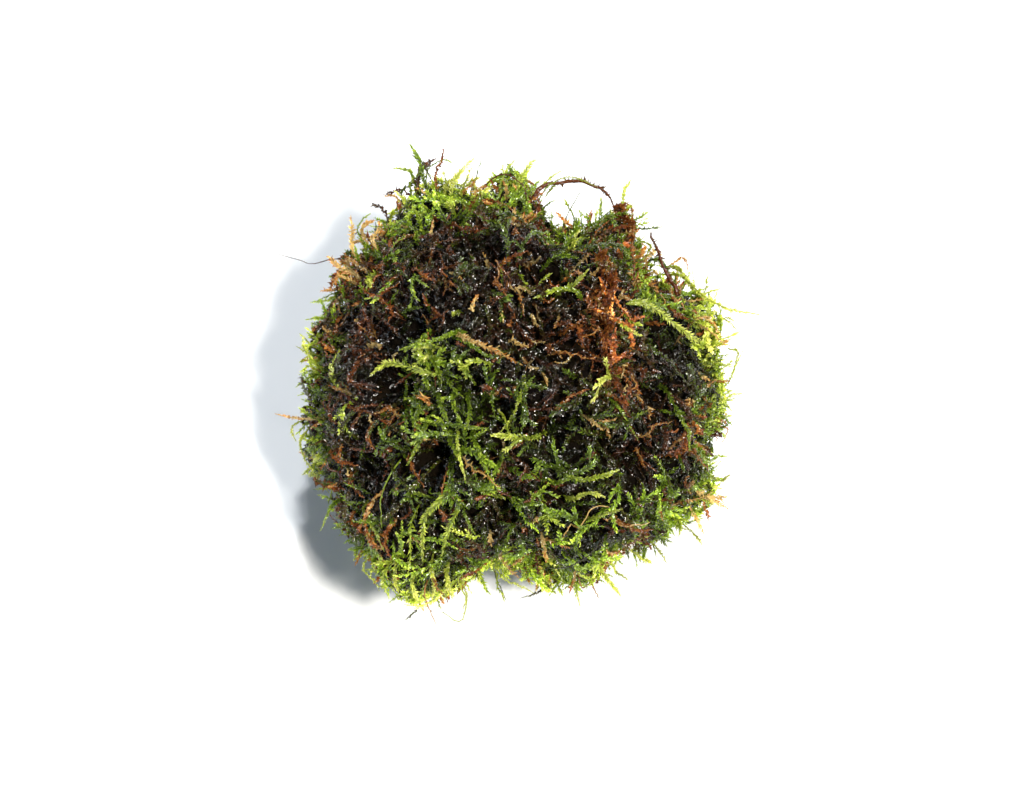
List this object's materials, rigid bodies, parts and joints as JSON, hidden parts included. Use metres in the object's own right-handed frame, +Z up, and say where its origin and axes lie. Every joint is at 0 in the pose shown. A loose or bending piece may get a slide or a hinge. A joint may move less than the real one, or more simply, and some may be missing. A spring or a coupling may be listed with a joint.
{
  "type": "java moss ball",
  "caption": "Round, slightly flattened ball of wet java moss with clumps, dark hollows and stray shoots, resting on a small flat spot.",
  "frame": {"origin": "middle of the flat spot that the ball rests on", "axes": "+Z up from the surface it rests on, -Y towards the front, +X to the right"},
  "size_m": [0.0906, 0.0875, 0.0697],
  "materials": {
    "mat": "wet matted moss, satin",
    "green": "wet leafy shoot, satin",
    "bright": "wet young shoot, satin",
    "yellow": "wet shoot tip, satin",
    "olive": "wet old shoot, satin",
    "rust": "dead brown shoot, damp",
    "straw": "bleached dead shoot, damp",
    "bark": "bare dark stem, damp",
    "fibre": "thin dark thread"
  },
  "bodies": {
    "root": {"moss_ball": "mat", "top_tuft_stem": "olive", "top_tuft_leaf_left": "green", "top_tuft_leaf_high": "olive", "top_tuft_leaf_right": "rust", "yellow_shoot_top": "yellow", "green_shoot_top": "green", "thin_shoot_top": "green", "curled_stem_top": "bark", "arched_stem": "bark", "arch_strut": "green", "shoulder_shoot": "green", "shoulder_stem": "rust", "right_stem": "bark", "long_shoot_right": "yellow", "side_shoot_right": "yellow", "thin_stem_right": "green", "low_shoot_right": "yellow", "bright_shoot": "bright", "dark_shoot": "green", "rust_frond_high": "rust", "rust_frond_low": "rust", "rust_branch": "rust", "straw_shoot_left": "straw", "straw_curl_left": "straw", "straw_branch_left": "rust", "thin_shoot_left": "green", "loose_fibre": "fibre", "edge_shoot_left": "bright", "straw_stem_left": "straw", "edge_stem_left": "yellow", "low_tip_left": "green", "front_comb": "bright", "front_shoot": "green", "broad_straw": "straw", "hanging_shoot_1": "bright", "hanging_shoot_2": "bright", "hanging_shoot_3": "bright", "hanging_shoot_4": "bright", "mid_shoot": "green", "bottom_shoot": "bright", "bottom_loop": "yellow", "rust_tail": "rust", "low_shoot_1": "yellow", "low_shoot_2": "olive", "low_shoot_3": "yellow", "low_shoot_4": "bright", "low_shoot_5": "yellow", "straw_fan_right": "straw"}
  },
  "joints": []
}
